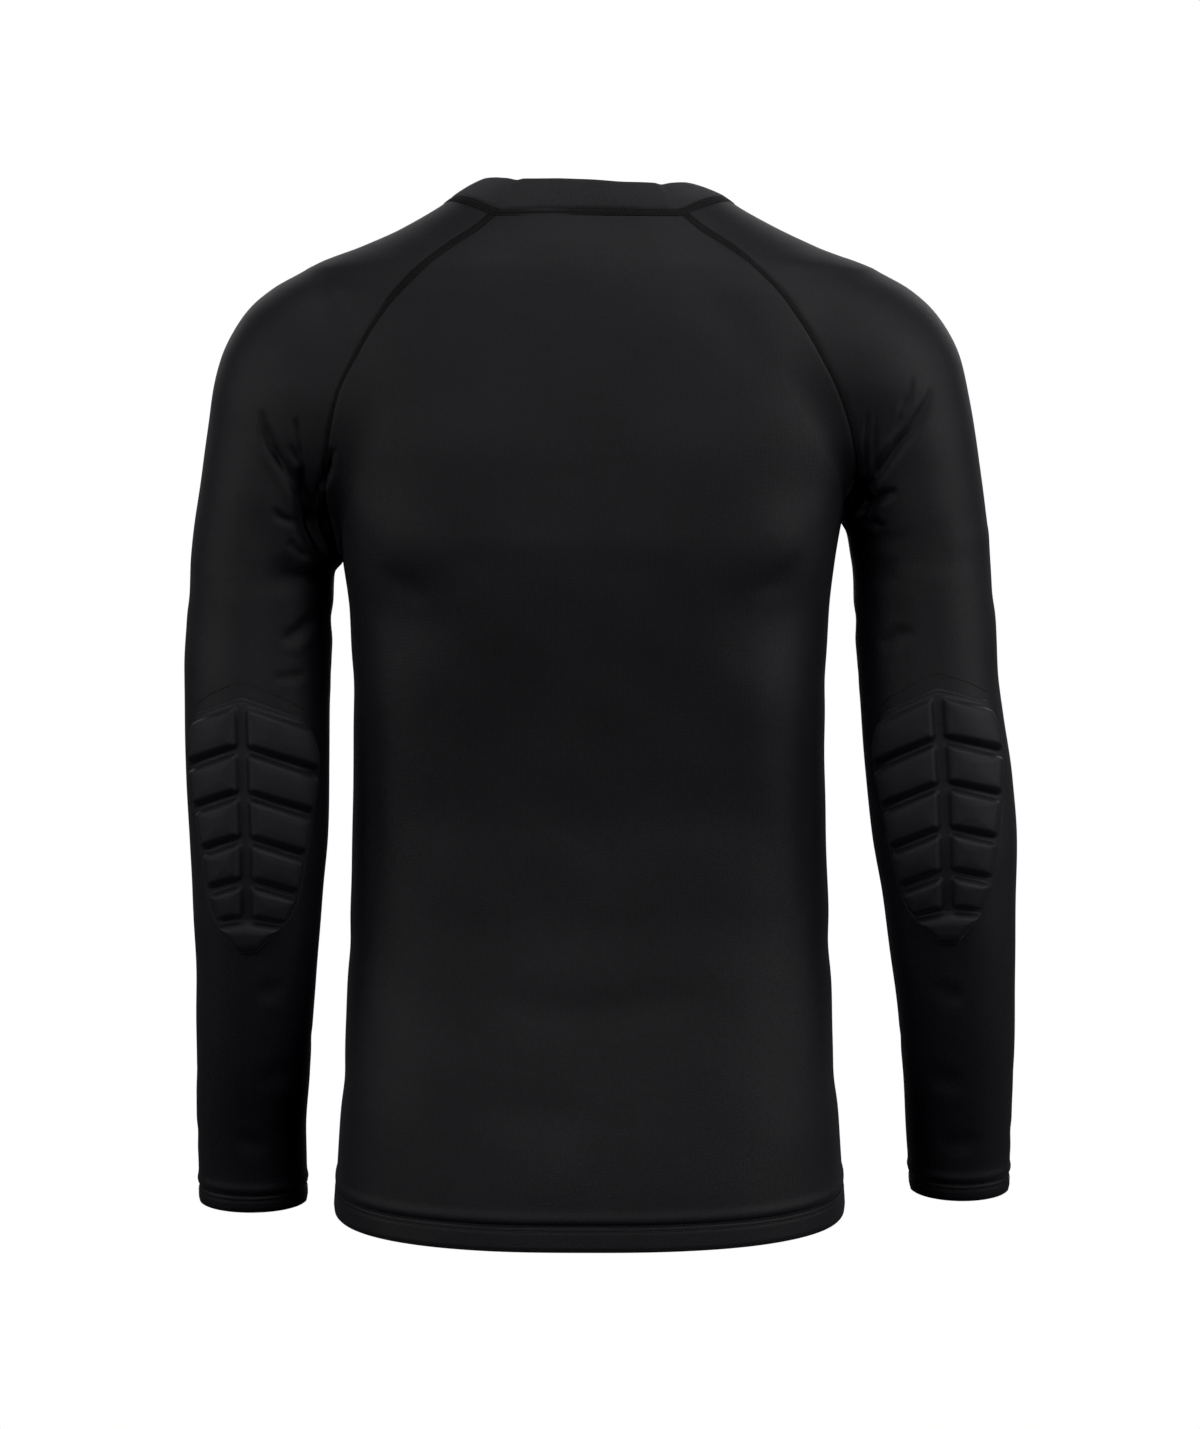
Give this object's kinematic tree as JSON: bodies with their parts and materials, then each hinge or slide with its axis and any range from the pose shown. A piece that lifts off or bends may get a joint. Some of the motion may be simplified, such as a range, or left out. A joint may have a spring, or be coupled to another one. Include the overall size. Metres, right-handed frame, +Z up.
{
  "type": "padded compression shirt",
  "caption": "Close-fitting long-sleeved raglan sports shirt in black stretch knit, with a rib crew neck, turned hem and cuffs, and moulded block pads over the elbows",
  "frame": {"origin": "the middle of the neck, level with the tops of the shoulders, where the wearer's shoulders carry the shirt", "axes": "+Z up along the body, +Y out of the back, -Y out of the front, +X towards the wearer's left arm"},
  "size_m": [0.5399, 0.2277, 0.6755],
  "materials": {
    "front_panel": "smooth stretch knit, soft sheen",
    "back_panel": "smooth stretch knit, soft sheen",
    "sleeve_left": "smooth stretch knit, soft sheen",
    "sleeve_right": "smooth stretch knit, soft sheen",
    "neck_rib": "fine rib knit, matte",
    "elbow_pad_left": "knit bonded over moulded foam, satin",
    "elbow_pad_right": "knit bonded over moulded foam, satin"
  },
  "bodies": {
    "root": {"front_panel": "front_panel", "back_panel": "back_panel", "sleeve_left": "sleeve_left", "sleeve_right": "sleeve_right", "neck_rib": "neck_rib", "elbow_pad_left": "elbow_pad_left", "elbow_pad_right": "elbow_pad_right"}
  },
  "joints": []
}
